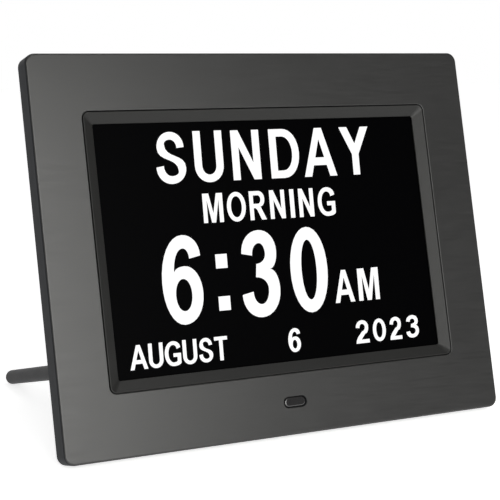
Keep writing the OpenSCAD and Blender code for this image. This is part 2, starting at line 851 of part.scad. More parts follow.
module rear_cover() {
    hooks = [-hook_gap / 2, hook_gap / 2];
    in_place() color(cover_black) difference() {
        union() {
            difference() {
                union() {
                    plate(cover_size, max(frame_r - rim_t - fit_gap, 0.5), lip_front, frame_depth, case_mid);
                    translate([0, body_depth, case_mid]) rotate([-90, 0, 0]) translate([0, 0, -box_edge_r])
                        round_layer(box_size, box_r, box_edge_r);
                    plate(box_size, box_r, lip_front, body_depth - box_edge_r, case_mid);
                }
                plate(room_size, box_r - wall_t, lip_front - 1, wall_front, case_mid);
            }
            for (x = hooks) hook_pocket(x, hook_wall, wall_front - hook_room - hook_wall, wall_front + eps);
            bar(insert_boss_d, rod_root - insert_len, wall_front + eps, rod_x, rod_height);
            posts(board_spots, board_back, wall_front + eps);
            posts(key_spots, key_board_back, wall_front + eps);
            posts(speaker_spots, speaker_seat, wall_front + eps);
            bar(speaker_d, speaker_seat + gasket_t, wall_front + eps, speaker_x, speaker_z);
        }
        for (x = hooks) {
            hook_pocket(x, 0, wall_front - hook_room, wall_front);
            deep(wall_front - 1, body_depth + 1) keyhole(x);
        }
        bar(insert_d, rod_root - insert_len - 1, rod_root, rod_x, rod_height);
        bar(rod_d + 2 * fit_gap, rod_root - eps, body_depth + 1, rod_x, rod_height);
        screw_holes(board_spots, board_back - 1, board_back + small_screw_len);
        screw_holes(key_spots, key_board_back - 1, key_board_back + small_screw_len);
        screw_holes(speaker_spots, speaker_seat - 1, speaker_seat + small_screw_len - 1);
        bar(speaker_d - 4, speaker_seat, wall_front, speaker_x, speaker_z);
        grille();
        for (i = [0 : button_count - 1])
            bar(button_d + 2 * button_gap, wall_front - 1, body_depth + 1, button_x, button_z(i));
        bar(jack_nose_d + 2 * fit_gap, wall_front - 1, body_depth + 1, jack_x, jack_z);
        for (i = [0 : vent_count - 1])
            translate([vent_x + (i - (vent_count - 1) / 2) * vent_pitch, 0, vent_z])
                deep(wall_front - 1, body_depth + 1) rotate(90) pill([vent_h, vent_w]);
        for (p = case_spots) {
            bar(case_screw_d + 0.4, lip_front - 1, frame_depth + 1, p[0], p[1]);
            bar(case_head_d + 2 * fit_gap, frame_depth - case_head_h - 0.2, frame_depth + 1, p[0], p[1]);
        }
        block(panel_size, body_depth - panel_depth, body_depth + 1, panel_x, panel_z);
    }
}

module rod_insert() {
    front = rod_root - insert_len;
    in_place() color(brass) difference() {
        bar(insert_d, front, rod_root, rod_x, rod_height);
        bar(stud_d + 2 * thread_gap, front - 1, rod_root + 1, rod_x, rod_height);
    }
}

module case_screws() {
    in_place() color(steel) for (p = case_spots)
        screw(p, frame_depth - case_head_h - 0.2, -1, case_screw_d, case_head_d, case_head_h,
            case_screw_len - lip_t + 1.2);
}

module small_screws() {
    in_place() color(steel) {
        for (p = bracket_spots) small_screw(p, tray_back + bracket_t, -1);
        for (p = ir_spots) small_screw(p, receiver_back + ir_board_t, -1);
        for (p = board_spots) small_screw(p, board_front, 1);
        for (p = key_spots) small_screw(p, key_board_back - board_t, 1);
        for (p = speaker_spots) small_screw(p, speaker_seat - speaker_flange_t, 1);
    }
}

module stand_rod() {
    in_place() color(rod_steel) {
        bar(stud_d, rod_root - stud_len, rod_root + stud_d, rod_x, rod_height);
        bar(rod_d, rod_root, rod_tip, rod_x, rod_height);
        translate([rod_x, rod_tip, rod_height]) sphere(d = rod_d);
    }
}

// Round push button with a wider foot that keeps it inside the cover
module button(index) {
    in_place() color(chip_black) {
        bar(button_flange_d, flange_front, flange_front + button_flange, button_x, button_z(index));
        bar(button_d, flange_front + button_flange, body_depth + button_rise, button_x, button_z(index));
    }
}

// Moving stem of a switch, pushed by its button
module plunger(index) {
    in_place() color(cream)
        bar(plunger_d, plunger_back - plunger_depth, flange_front, button_x, button_z(index));
}

module power_button() button(POWER);
module menu_button() button(MENU);
module up_button() button(UP);
module down_button() button(DOWN);
module ok_button() button(OK);
module back_button() button(BACK);
module power_plunger() plunger(POWER);
module menu_plunger() plunger(MENU);
module up_plunger() plunger(UP);
module down_plunger() plunger(DOWN);
module ok_plunger() plunger(OK);
module back_plunger() plunger(BACK);

front_frame();
screen_bezel();
ir_window();
screen_gasket();
lcd_glass();
light_guide();
backlight_bar();
display_tray();
tray_brackets();
display_flex();
ir_board();
ir_receiver();
ir_ribbon();
main_board();
processor();
memory_chips();
board_parts();
board_sockets();
cell_holder();
coin_cell();
dc_jack();
jack_pin();
speaker_frame();
speaker_magnet();
speaker_cone();
speaker_gasket();
speaker_lead();
key_board();
key_switches();
key_ribbon();
rear_cover();
rod_insert();
case_screws();
small_screws();
stand_rod();
power_button();
menu_button();
up_button();
down_button();
ok_button();
back_button();
power_plunger();
menu_plunger();
up_plunger();
down_plunger();
ok_plunger();
back_plunger();
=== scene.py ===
"""Looks of a leaning day clock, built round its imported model.

Every new piece is drawn in the clock's upright pose, in millimetres: X to the right seen from the front,
Y into the clock, Z up along the face, from the middle of the face's bottom edge. Upright then leans the
piece back and sets it down in the frame, in metres.
"""

from __future__ import annotations

import json
import logging
import math
import re
from dataclasses import dataclass
from enum import Enum
from typing import Iterable, Sequence, Union

import bmesh
import bpy
from mathutils import Matrix, Vector


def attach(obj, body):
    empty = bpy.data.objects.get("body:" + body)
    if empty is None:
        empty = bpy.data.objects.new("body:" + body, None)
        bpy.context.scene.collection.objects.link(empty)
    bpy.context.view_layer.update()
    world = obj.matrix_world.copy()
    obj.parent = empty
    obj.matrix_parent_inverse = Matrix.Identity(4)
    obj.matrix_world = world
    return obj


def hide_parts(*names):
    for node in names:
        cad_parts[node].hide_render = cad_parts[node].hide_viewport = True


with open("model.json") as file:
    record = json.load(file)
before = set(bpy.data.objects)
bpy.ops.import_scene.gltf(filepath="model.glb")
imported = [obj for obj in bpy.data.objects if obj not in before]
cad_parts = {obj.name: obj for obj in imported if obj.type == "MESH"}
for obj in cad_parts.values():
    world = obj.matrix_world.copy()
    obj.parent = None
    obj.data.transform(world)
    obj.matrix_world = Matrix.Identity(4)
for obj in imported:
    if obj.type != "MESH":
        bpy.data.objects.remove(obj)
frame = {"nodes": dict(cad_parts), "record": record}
logging.basicConfig(level=logging.INFO, format="%(message)s")
log = logging.getLogger("day_clock")

# Lengths are in millimetres, apart from COPY_WELD, which is in metres.
MM = 0.001
CORNER_STEPS = 10
ROUND_STEPS = 5
SHARP_ANGLE = math.radians(21)
DRAWN_WELD = 1e-4
COPY_WELD = 1e-6
BRIDGE_GAP = 20.0
SLIVER = 0.01
WAVE_PERIOD = 0.314

Colour = tuple[float, float, float]
Point2 = tuple[float, float]
Loop = list[bmesh.types.BMEdge]


class Key(Enum):
    """The six push buttons from the top down."""

    POWER = "power"
    MENU = "menu"
    UP = "up"
    DOWN = "down"
    OK = "ok"
    BACK = "back"


class Bend(Enum):
    """How a character's outline passes a point."""

    CORNER = "C"
    LEVEL = "L"
    STEEP = "S"


Contour = list[tuple[float, float, Bend]]


# ---- shader graphs


class Value:
    """A shader socket that takes part in arithmetic: an expression on values adds its Math nodes."""

    def __init__(self, graph: Graph, socket: bpy.types.NodeSocket) -> None:
        """Wraps one output socket.

        Args:
            graph: The graph that new nodes go to.
            socket: The output that this value stands for.
        """
        self.graph = graph
        self.socket = socket

    def __add__(self, other: Number) -> Value:
        """Sum with a value or number."""
        return self.graph.maths("ADD", self, other)

    def __radd__(self, other: Number) -> Value:
        """Sum with a number on the left."""
        return self.graph.maths("ADD", other, self)

    def __sub__(self, other: Number) -> Value:
        """Difference from a value or number."""
        return self.graph.maths("SUBTRACT", self, other)

    def __rsub__(self, other: Number) -> Value:
        """Difference with a number on the left."""
        return self.graph.maths("SUBTRACT", other, self)

    def __mul__(self, other: Number) -> Value:
        """Product with a value or number."""
        return self.graph.maths("MULTIPLY", self, other)

    def __rmul__(self, other: Number) -> Value:
        """Product with a number on the left."""
        return self.graph.maths("MULTIPLY", other, self)

    def swing(self, amount: float) -> Value:
        """This value from 0 to 1 as a swing round 0, of an amount in all."""
        return amount * (self - 0.5)

    def __gt__(self, other: Number) -> Value:
        """1 where this value is greater, otherwise 0."""
        return self.graph.maths("GREATER_THAN", self, other)

    def __or__(self, other: Number) -> Value:
        """The larger of two values, which joins two masks."""
        return self.graph.maths("MAXIMUM", self, other)


Number = Union[Value, float]


class Graph:
    """The node tree of one material or world."""

    def __init__(self, owner: bpy.types.Material | bpy.types.World) -> None:
        """Turns the owner's nodes on and empties their tree.

        Args:
            owner: Material or world whose tree is filled.
        """
        owner.use_nodes = True
        self.tree = owner.node_tree
        self.tree.nodes.clear()

    def node(self, kind: str, inputs: dict[str, object] | None = None, **settings: object) -> bpy.types.Node:
        """Adds one node.

        Args:
            kind: Node type, without its leading ShaderNode.
            inputs: Numbers, colours, values or sockets for its inputs, by name or identifier.
            settings: Node properties, set before the inputs.

        Returns:
            The new node.
        """
        made = self.tree.nodes.new("ShaderNode" + kind)
        for name, setting in settings.items():
            setattr(made, name, setting)
        for name, given in (inputs or {}).items():
            socket = self._find(made.inputs, name)
            if isinstance(given, Value):
                self.tree.links.new(given.socket, socket)
            elif isinstance(given, bpy.types.NodeSocket):
                self.tree.links.new(given, socket)
            else:
                socket.default_value = given
        return made

    def _find(self, sockets: Iterable[bpy.types.NodeSocket], name: str) -> bpy.types.NodeSocket:
        """The socket with that identifier, or else with that name."""
        found = [s for s in sockets if s.identifier == name] or [s for s in sockets if s.name == name]
        return found[0]

    def value(self, node: bpy.types.Node, output: str) -> Value:
        """One output of a node as a value."""
        return Value(self, self._find(node.outputs, output))

    def maths(self, operation: str, first: Number, second: Number) -> Value:
        """Adds a Math node and gives its result."""
        made = self.node("Math", {"Value": first, "Value_001": second}, operation=operation)
        return self.value(made, "Value")

    def place(self, stretch: Sequence[float] = (1, 1, 1), turn: Sequence[float] = (0, 0, 0)) -> Value:
        """Object coordinates in metres, stretched along each axis and turned by Euler angles."""
        inputs = {"Scale": stretch, "Rotation": turn, "Vector": self.value(self.node("TexCoord"), "Object")}
        return self.value(self.node("Mapping", inputs), "Vector")

    def noise(self, where: Value, size: float, detail: float = 2.0) -> Value:
        """Soft noise from 0 to 1, with its largest blobs' size in millimetres and its finer octaves."""
        inputs = {"Vector": where, "Scale": 1 / (size * MM), "Detail": detail, "Roughness": 0.55}
        return self.value(self.node("TexNoise", inputs), "Fac")

    def raster(self, pixel: float) -> Value:
        """The display's checkered pixels, 0 or 1, of a size in millimetres."""
        return self.value(self.node("TexChecker", {"Vector": self.place(), "Scale": 1 / (pixel * MM)}), "Fac")

    def tint(self, colour: Colour, shade: Value) -> Value:
        """A colour made lighter or darker by a factor that changes over the surface."""
        made = self.node("VectorMath", {"Vector": colour, "Scale": shade}, operation="SCALE")
        return self.value(made, "Vector")

    def blend(self, low: object, high: object, mask: Number) -> Value:
        """Mixes two colours by a mask from 0 to 1."""
        inputs = {"Factor_Float": mask, "A_Color": _opaque(low), "B_Color": _opaque(high)}
        return self.value(self.node("Mix", inputs, data_type="RGBA"), "Result_Color")

    def relief(self, height: Value, depth: float, soften: float = 0.0) -> Value:
        """A bumped normal.

        Args:
            height: Relief from 0 to 1.
            depth: Its depth in millimetres.
            soften: Radius in millimetres by which hard edges look rounded.

        Returns:
            The normal.
        """
        inputs: dict[str, object] = {"Strength": 1.0, "Distance": depth * MM, "Height": height}
        if soften:
            rounded = self.node("Bevel", {"Radius": soften * MM}, samples=4)
            inputs["Normal"] = self.value(rounded, "Normal")
        return self.value(self.node("Bump", inputs), "Normal")

    def surface(self, shader: bpy.types.Node) -> None:
        """Ends the graph in a shader."""
        kind = "OutputWorld" if shader.bl_idname == "ShaderNodeBackground" else "OutputMaterial"
        self.node(kind, {"Surface": shader.outputs[0]})


def _opaque(colour: object) -> object:
    """A three-part colour with an alpha of 1; anything else as it is."""
    return (*colour, 1.0) if isinstance(colour, tuple) and len(colour) == 3 else colour


# ---- finishes


@dataclass(frozen=True)
class Finish:
    """What every finish has: a name for its material."""

    name: str

    def material(self) -> bpy.types.Material:
        """Makes the finish's material once.

        Returns:
            The material.
        """
        made = bpy.data.materials.get(self.name)
        if made is None:
            made = bpy.data.materials.new(self.name)
            graph = Graph(made)
            graph.surface(graph.node("BsdfPrincipled", self.sockets(graph)))
        return made

    def sockets(self, graph: Graph) -> dict[str, object]:
        """What the finish feeds to the surface shader, as numbers, colours and values by input name."""
        raise NotImplementedError


@dataclass(frozen=True)
class MouldedPlastic(Finish):
    """Moulded plastic: a fine eroded grain, and a slight drift of shade and gloss over the surface."""

    colour: Colour
    roughness: float
    grain: float
    depth: float
    specular: float = 0.5
    mottle: float = 0.06
    soften: float = 0.0
    patch: float = 45.0
    cloud: float = 5.0

    def sockets(self, graph: Graph) -> dict[str, object]:
        """Inputs for the plastic.

        Args:
            graph: The material's graph.

        Returns:
            Values by input name.
        """
        where = graph.place()
        drift = graph.noise(where, self.patch, 3)
        cloud = graph.noise(where, self.cloud)
        grain = graph.noise(where, self.grain)
        shade = 1 + drift.swing(2 * self.mottle) + grain.swing(self.mottle)
        return {
            "Base Color": graph.tint(self.colour, shade),
            "Roughness": self.roughness + cloud.swing(0.08) + grain.swing(0.06),
            "Normal": graph.relief(grain, self.depth, self.soften),
            "Specular IOR Level": self.specular,
        }


@dataclass(frozen=True)
class BrushedFilm(Finish):
    """Satin coating with fine level brush lines, as on the clock's face."""

    colour: Colour
    roughness: float = 0.34
    specular: float = 0.5
    line: float = 0.5
    length: float = 12.0
    patch: float = 30.0
    contrast: float = 0.2
    depth: float = 0.0025

    def sockets(self, graph: Graph) -> dict[str, object]:
        """Inputs for the coating.

        Args:
            graph: The material's graph.

        Returns:
            Values by input name.
        """
        lines = graph.noise(graph.place((self.line / self.length, 1, 1)), self.line)
        drift = graph.noise(graph.place((0.4, 1, 1)), self.patch)
        shade = 1 - self.contrast + self.contrast * (lines + drift)
        return {
            "Base Color": graph.tint(self.colour, shade),
            "Roughness": self.roughness + lines.swing(0.2) + drift.swing(0.04),
            "Normal": graph.relief(lines, self.depth),
            "Specular IOR Level": self.specular,
        }


@dataclass(frozen=True)
class SmoothGloss(Finish):
    """Clear or polished plastic with a little dust and faint flow lines."""

    colour: Colour
    roughness: float
    specular: float = 0.5
    flow: float = 8.0
    dust: float = 0.6
    dust_level: float = 0.66

    def sockets(self, graph: Graph) -> dict[str, object]:
        """Inputs for the polished plastic.

        Args:
            graph: The material's graph.

        Returns:
            Values by input name.
        """
        flow = graph.noise(graph.place((1, 1, 6)), self.flow)
        dust = graph.noise(graph.place(), self.dust, 3) > self.dust_level
        return {
            "Base Color": graph.tint(self.colour, 0.95 + 0.1 * flow),
            "Roughness": self.roughness + 0.1 * dust + 0.04 * flow,
            "Normal": graph.relief(flow, 0.004),
            "Specular IOR Level": self.specular,
        }


@dataclass(frozen=True)
class WorkedMetal(Finish):
    """Metal with fine drawn or turned lines, specks and a thin uneven film."""

    colour: Colour
    roughness: float
    metallic: float = 1.0
    specular: float = 0.5
    lines: tuple[float, float, float] = (1.0, 1.0, 12.0)
    line: float = 1.6
    film: float = 9.0
    speck: float = 0.5
    speck_level: float = 0.62
    depth: float = 0.003
    soften: float = 0.0

    def sockets(self, graph: Graph) -> dict[str, object]:
        """Inputs for the metal.

        Args:
            graph: The material's graph.

        Returns:
            Values by input name.
        """
        lines = graph.noise(graph.place(self.lines), self.line, 3)
        film = graph.noise(graph.place(), self.film, 3)
        specks = graph.noise(graph.place(), self.speck) > self.speck_level
        return {
            "Base Color": graph.tint(self.colour, 0.9 + 0.12 * film + 0.08 * lines),
            "Metallic": self.metallic,
            "Specular IOR Level": self.specular,
            "Roughness": self.roughness + lines.swing(0.12) + film.swing(0.1) + 0.08 * specks,
            "Normal": graph.relief(lines, self.depth, self.soften),
        }


@dataclass(frozen=True)
class CircuitBoard(Finish):
    """Glass-fibre board under solder mask, with copper traces that show through as lighter bands."""

    mask: Colour = (0.01, 0.09, 0.035)
    trace: Colour = (0.02, 0.17, 0.06)
    pitch: float = 3.2
    gap: float = 0.09
    gap_soft: float = 0.1

    def sockets(self, graph: Graph) -> dict[str, object]:
        """Inputs for the board.

        Args:
            graph: The material's graph.

        Returns:
            Values by input name.
        """
        turned = graph.place(turn=(math.radians(90), 0, 0))
        bricks = {"Vector": turned, "Scale": 1 / (self.pitch * MM), "Mortar Size": self.gap}
        bricks["Mortar Smooth"] = self.gap_soft
        traces = graph.value(graph.node("TexBrick", bricks, offset=0.37, squash=1.6), "Fac")
        weave = graph.noise(graph.place((1, 1, 3)), 0.8, 2)
        return {
            "Base Color": graph.blend(self.mask, self.trace, traces),
            "Roughness": 0.32 + 0.14 * weave,
            "Normal": graph.relief(traces * 0.7 + weave * 0.3, 0.02),
            "Coat Weight": 0.3,
        }


@dataclass(frozen=True)
class Sponge(Finish):
    """Foam, felt or paper: open pores, with painted shade darkening their pits, and no gloss."""

    colour: Colour = (0.02, 0.02, 0.02)
    pore: float = 0.7
    depth: float = 0.12

    def sockets(self, graph: Graph) -> dict[str, object]:
        """Inputs for the foam.

        Args:
            graph: The material's graph.

        Returns:
            Values by input name.
        """
        cells = {"Vector": graph.place(), "Scale": 1 / (self.pore * MM)}
        pores = graph.value(graph.node("TexVoronoi", cells, feature="F1"), "Distance")
        return {
            # The colour darkens toward each pore's centre, where the bump sinks: painted shade in the pits.
            "Base Color": graph.tint(self.colour, 0.6 + 0.8 * pores),
            "Roughness": 0.9 + 0.1 * pores,
            "Normal": graph.relief(pores, self.depth),
            "Specular IOR Level": 0.2,
        }


@dataclass(frozen=True)
class FlatCable(Finish):
    """Flat cable or flex: parallel conductors under film."""

    film: Colour = (0.4, 0.15, 0.03)
    conductor: Colour = (0.55, 0.26, 0.08)
    pitch: float = 1.0

    def sockets(self, graph: Graph) -> dict[str, object]:
        """Inputs for the cable.

        Args:
            graph: The material's graph.

        Returns:
            Values by input name.
        """
        waves = {"Vector": graph.place(), "Scale": WAVE_PERIOD / (self.pitch * MM), "Distortion": 0.0}
        bands = graph.value(graph.node("TexWave", waves, wave_type="BANDS", bands_direction="X"), "Fac")
        scuffs = graph.noise(graph.place(), 3, 3)
        return {
            "Base Color": graph.blend(self.film, self.conductor, bands > 0.5),
            "Roughness": 0.28 + 0.15 * scuffs,
            "Normal": graph.relief(bands, 0.03),
        }


@dataclass(frozen=True)
class BlackScreen(Finish):
    """Dark display face: a black field with a barely visible raster and a fine anti-glare grain."""

    colour: Colour = (0.0008, 0.0008, 0.001)
    pixel: float = 0.26
    grain: float = 0.15
    specular: float = 0.01

    def sockets(self, graph: Graph) -> dict[str, object]:
        """Inputs for the display face.

        Args:
            graph: The material's graph.

        Returns:
            Values by input name.
        """
        grain = graph.noise(graph.place(), self.grain, 1)
        return {
            "Base Color": graph.tint(self.colour, 0.8 + 0.4 * graph.raster(self.pixel)),
            "Roughness": 0.3 + 0.1 * grain,
            "Normal": graph.relief(grain, 0.001),
            "Specular IOR Level": self.specular,
        }


@dataclass(frozen=True)
class LitCharacter(Finish):
    """Lit character on the display: bright white, with the display's faint raster."""

    pixel: float = 0.26
    brightness: float = 1.08

    def sockets(self, graph: Graph) -> dict[str, object]:
        """Inputs for a lit character.

        Args:
            graph: The material's graph.

        Returns:
            Values by input name.
        """
        raster = graph.raster(self.pixel)
        return {
            "Base Color": (0.0, 0.0, 0.0, 1.0),
            "Emission Color": graph.tint((1.0, 1.0, 1.0), 0.97 + 0.03 * raster),
            "Emission Strength": self.brightness,
            "Roughness": 0.5 + 0.1 * raster,
            "Specular IOR Level": 0.0,
        }


FACE_FILM = BrushedFilm("face_film", (0.019, 0.0189, 0.0188))
# Rim colour, darker and bluer than the face: partly the rim's own matt plastic, partly painted shade and a
# painted sky reflection along the side.
RIM_PLASTIC_WITH_PAINTED_SHADE = MouldedPlastic(
    "rim_plastic_with_painted_shade", (0.0125, 0.0138, 0.0168), 0.5, specular=0.06, grain=0.5, depth=0.006, mottle=0.05
)
SATIN_RING = MouldedPlastic(
    "satin_ring", (0.015, 0.015, 0.0145), 0.4, specular=0.25, grain=0.4, depth=0.004, mottle=0.04
)
SPARK_BLACK = MouldedPlastic(
    "spark_black", (0.016, 0.016, 0.017), 0.56, specular=0.45, grain=0.6, depth=0.03, mottle=0.1, soften=0.3
)
SOFT_BUTTON = MouldedPlastic("soft_button", (0.03, 0.03, 0.031), 0.48, grain=0.25, depth=0.004)
PRINTED_WHITE = MouldedPlastic("printed_white", (0.55, 0.55, 0.55), 0.6, grain=0.2, depth=0.003)
BLACK_MOULDING = MouldedPlastic("black_moulding", (0.012, 0.012, 0.012), 0.5, grain=0.3, depth=0.01)
CREAM_MOULDING = MouldedPlastic("cream_moulding", (0.6, 0.54, 0.4), 0.5, grain=0.4, depth=0.006)
SMOKED_WINDOW = SmoothGloss("smoked_window", (0.017, 0.0165, 0.017), 0.08, specular=0.8)
CLEAR_SHEET = SmoothGloss("clear_sheet", (0.8, 0.83, 0.85), 0.12)
LEAD_JACKET = SmoothGloss("lead_jacket", (0.25, 0.01, 0.01), 0.35)
PLATED_ROD = WorkedMetal(
    "plated_rod", (0.02, 0.02, 0.0215), 0.45, metallic=0.05, specular=0.08, lines=(6.0, 0.6, 6.0)
)
ZINC_STEEL = WorkedMetal("zinc_steel", (0.56, 0.57, 0.6), 0.3, soften=0.15)
SHEET_STEEL = WorkedMetal("sheet_steel", (0.5, 0.5, 0.52), 0.34, lines=(0.4, 6.0, 6.0))
TURNED_BRASS = WorkedMetal("turned_brass", (0.7, 0.47, 0.18), 0.28, lines=(6.0, 0.5, 6.0))
FERRITE = WorkedMetal("ferrite", (0.07, 0.07, 0.075), 0.55, metallic=0.6)
SOLDER_MASK = CircuitBoard("solder_mask")
BLACK_FOAM = Sponge("black_foam")
CONE_PAPER = Sponge("cone_paper", (0.03, 0.028, 0.026), pore=1.2, depth=0.06)
AMBER_FLEX = FlatCable("amber_flex")
CREAM_RIBBON = FlatCable("cream_ribbon", (0.62, 0.58, 0.48), (0.5, 0.47, 0.4), pitch=1.25)
BLACK_SCREEN = BlackScreen("black_screen")
LIT_CHARACTER = LitCharacter("lit_character")


# ---- pose and benches


class Upright:
    """The clock's upright pose: it measures nodes there, and sets finished pieces down in the frame."""

    def __init__(self, nodes: dict[str, bpy.types.Object], record: dict) -> None:
        """Finds the lean from the back's own direction, and the foot from the front frame.

        Args:
            nodes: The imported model's nodes by name.
            record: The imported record.
        """
        outward = Vector(next(m["axis"] for m in record["mounts"] if m["name"] == "back"))
        self._nodes = nodes
        self._turn = Matrix.Rotation(-math.atan2(-outward.z, outward.y), 4, "X")
        low, _ = self._reach("front_frame")
        self._foot = Vector((0, low.y, low.z))
        self.settle = self._turn @ Matrix.Translation(self._foot) @ Matrix.Scale(MM, 4)

    def _reach(self, node: str) -> tuple[Vector, Vector]:
        """Measures a node turned upright.

        Args:
            node: The node's name.

        Returns:
            Its lowest and highest corner in metres.
        """
        back = self._turn.inverted()
        points = [back @ v.co for v in self._nodes[node].data.vertices]
        low, high = (Vector([pick(p[i] for p in points) for i in range(3)]) for pick in (min, max))
        return low, high

    def span(self, node: str) -> tuple[Vector, Vector]:
        """Lowest and highest corner of a node in the upright pose, in millimetres."""
        low, high = self._reach(node)
        return (low - self._foot) / MM, (high - self._foot) / MM

    def middle(self, node: str) -> Vector:
        """Middle of a node in the upright pose, in millimetres."""
        low, high = self.span(node)
        return (low + high) / 2


UPRIGHT = Upright(frame["nodes"], frame["record"])


class Bench:
    """A mesh that bmesh operators shape upright, in millimetres, and that fit() puts on the clock."""

    def __init__(self) -> None:
        """Starts an empty mesh."""
        self.bm = bmesh.new()

    def outline(self, size: Point2, radius: float, middle: Point2, depth: float) -> Loop:
        """A rectangle with round corners that faces the viewer, as a loop of edges.

        Args:
            size: Its width and height.
            radius: Corner radius; half the height gives a pill.
            middle: Its centre, across and up.
            depth: How deep in the clock it lies.

        Returns:
            The loop's edges.
        """
        before = set(self.bm.edges)
        corners = bmesh.ops.create_grid(self.bm, x_segments=1, y_segments=1, size=0.5)["verts"]
        bmesh.ops.scale(self.bm, vec=(size[0], size[1], 1), verts=corners)
        bmesh.ops.rotate(self.bm, cent=(0, 0, 0), matrix=Matrix.Rotation(math.pi / 2, 3, "X"), verts=corners)
        bmesh.ops.translate(self.bm, vec=(middle[0], depth, middle[1]), verts=corners)
        bmesh.ops.bevel(
            self.bm,
            geom=corners,
            offset=min(radius, min(size) / 2 - SLIVER),
            offset_type="OFFSET",
            segments=CORNER_STEPS,
            profile=0.5,
            affect="VERTICES",
            material=-1,
        )
        edges = [e for e in self.bm.edges if e not in before]
        faces = list({f for e in edges for f in e.link_faces})
        bmesh.ops.delete(self.bm, geom=faces, context="FACES_ONLY")
        return edges

    def stack(
        self, size: Point2, radius: float | None, middle: Point2, steps: Sequence[Point2]
    ) -> list[Loop]:
        """Skins outlines of one form that lie behind each other.

        Args:
            size: Width and height of the form.
            radius: Its corner radius, which grows with it, or None for a pill.
            middle: Its centre, across and up.
            steps: How far each outline stands outside the form, and its depth.

        Returns:
            The outlines' loops.
        """
        loops = []
        for margin, depth in steps:
            whole = grown(size, margin)
            corner = whole[1] / 2 if radius is None else radius + margin
            loops.append(self.outline(whole, corner, middle, depth))
        self.skin(loops)
        return loops

    def skin(self, loops: Sequence[Loop], closed: bool = False) -> None:
        """Bridges each loop to the next; the loops stand apart while they are bridged, so that they pair up.

        Args:
            loops: Loops in order.
            closed: Whether the last one joins the first.
        """
        self._spread(loops, BRIDGE_GAP)
        pairs = list(zip(loops, loops[1:])) + ([(loops[-1], loops[0])] if closed else [])
        for one, other in pairs:
            bmesh.ops.bridge_loops(self.bm, edges=one + other)
        self._spread(loops, -BRIDGE_GAP)

    def _spread(self, loops: Sequence[Loop], gap: float) -> None:
        """Moves each loop deeper than the one before it.

        Args:
            loops: Loops in order.
            gap: How much deeper, in millimetres.
        """
        for step, loop in enumerate(loops):
            points = list({v for edge in loop for v in edge.verts})
            bmesh.ops.translate(self.bm, vec=(0, step * gap, 0), verts=points)

    def cap(self, loops: Sequence[Loop]) -> None:
        """Fills the first and the last loop."""
        for loop in (loops[0], loops[-1]):
            self.sheet(loop)

    def sheet(self, *loops: Loop) -> None:
        """Fills the flat area inside the first loop and outside the others."""
        edges = [edge for loop in loops for edge in loop]
        bmesh.ops.triangle_fill(self.bm, use_beauty=True, use_dissolve=False, edges=edges)

    def turned(self, profile: Sequence[Point2], axis: Point2, steps: int = 48) -> None:
        """Spins a profile round an axis that runs into the clock.

        Args:
            profile: Points as radius and depth.
            axis: Where the axis stands, across and up.
            steps: Steps of the full turn.
        """
        points = [self.bm.verts.new((axis[0] + radius, depth, axis[1])) for radius, depth in profile]
        edges = [self.bm.edges.new(pair) for pair in zip(points, points[1:])]
        bmesh.ops.spin(
            self.bm,
            geom=points + edges,
            cent=(axis[0], 0, axis[1]),
            axis=(0, 1, 0),
            angle=2 * math.pi,
            steps=steps,
            use_merge=True,
        )

    def add(self, mesh: bpy.types.Mesh) -> None:
        """Joins a finished mesh to the bench's."""
        self.bm.from_mesh(mesh)
        bpy.data.meshes.remove(mesh)

    def fit(
        self,
        name: str,
        finish: Finish,
        body: str = "clock",
        replaces: Sequence[str] = (),
        drawn: bool = True,
        back_finish: Finish | None = None,
        back_from: float = 0.0,
    ) -> None:
        """Makes the piece and puts it on its body.

        Args:
            name: The piece's name.
            finish: Its finish.
            body: The body that it rides on.
            replaces: Nodes that it stands for.
            drawn: Whether it was drawn upright, as closed shells; a copied node stays where it is.
            back_finish: A second finish for the faces further back.
            back_from: Depth at which the second finish starts.
        """
        weld = DRAWN_WELD if drawn else COPY_WELD
        bmesh.ops.remove_doubles(self.bm, verts=self.bm.verts, dist=weld)
        if back_finish is not None:
            for face in self.bm.faces:
                face.material_index = int(face.calc_center_median().y > back_from)
        if drawn:
            bmesh.ops.recalc_face_normals(self.bm, faces=self.bm.faces)
            bmesh.ops.transform(self.bm, matrix=UPRIGHT.settle, verts=self.bm.verts)
        mesh = bpy.data.meshes.new(name)
        self.bm.to_mesh(mesh)
        self.bm.free()
        mesh.shade_smooth()
        mesh.set_sharp_from_angle(angle=SHARP_ANGLE)
        for used in (finish, back_finish):
            if used is not None:
                mesh.materials.append(used.material())
        piece = shown(name, mesh)
        flats = piece.modifiers.new("flat_faces_stay_flat", "WEIGHTED_NORMAL")
        flats.keep_sharp = True
        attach(piece, body)
        if replaces:
            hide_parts(*replaces)
        log.info("%s: %d faces, on %s", name, len(mesh.polygons), body)


def shown(name: str, data: bpy.types.ID) -> bpy.types.Object:
    """Puts a new object with its data in the scene.

    Args:
        name: The object's name.
        data: Its mesh, camera or lamp.

    Returns:
        The object.
    """
    made = bpy.data.objects.new(name, data)
    bpy.context.scene.collection.objects.link(made)
    return made


def arc(centre: Point2, radius: float, start: float, end: float, steps: int = ROUND_STEPS) -> list[Point2]:
    """Points on an arc, both ends included, with angles in degrees from the first axis to the second."""
    angles = [math.radians(start + (end - start) * i / steps) for i in range(steps + 1)]
    return [(centre[0] + radius * math.cos(a), centre[1] + radius * math.sin(a)) for a in angles]


def grown(size: Point2, margin: float) -> Point2:
    """A width and height grown by the same margin on every side."""
    return size[0] + 2 * margin, size[1] + 2 * margin


# ---- front of the clock


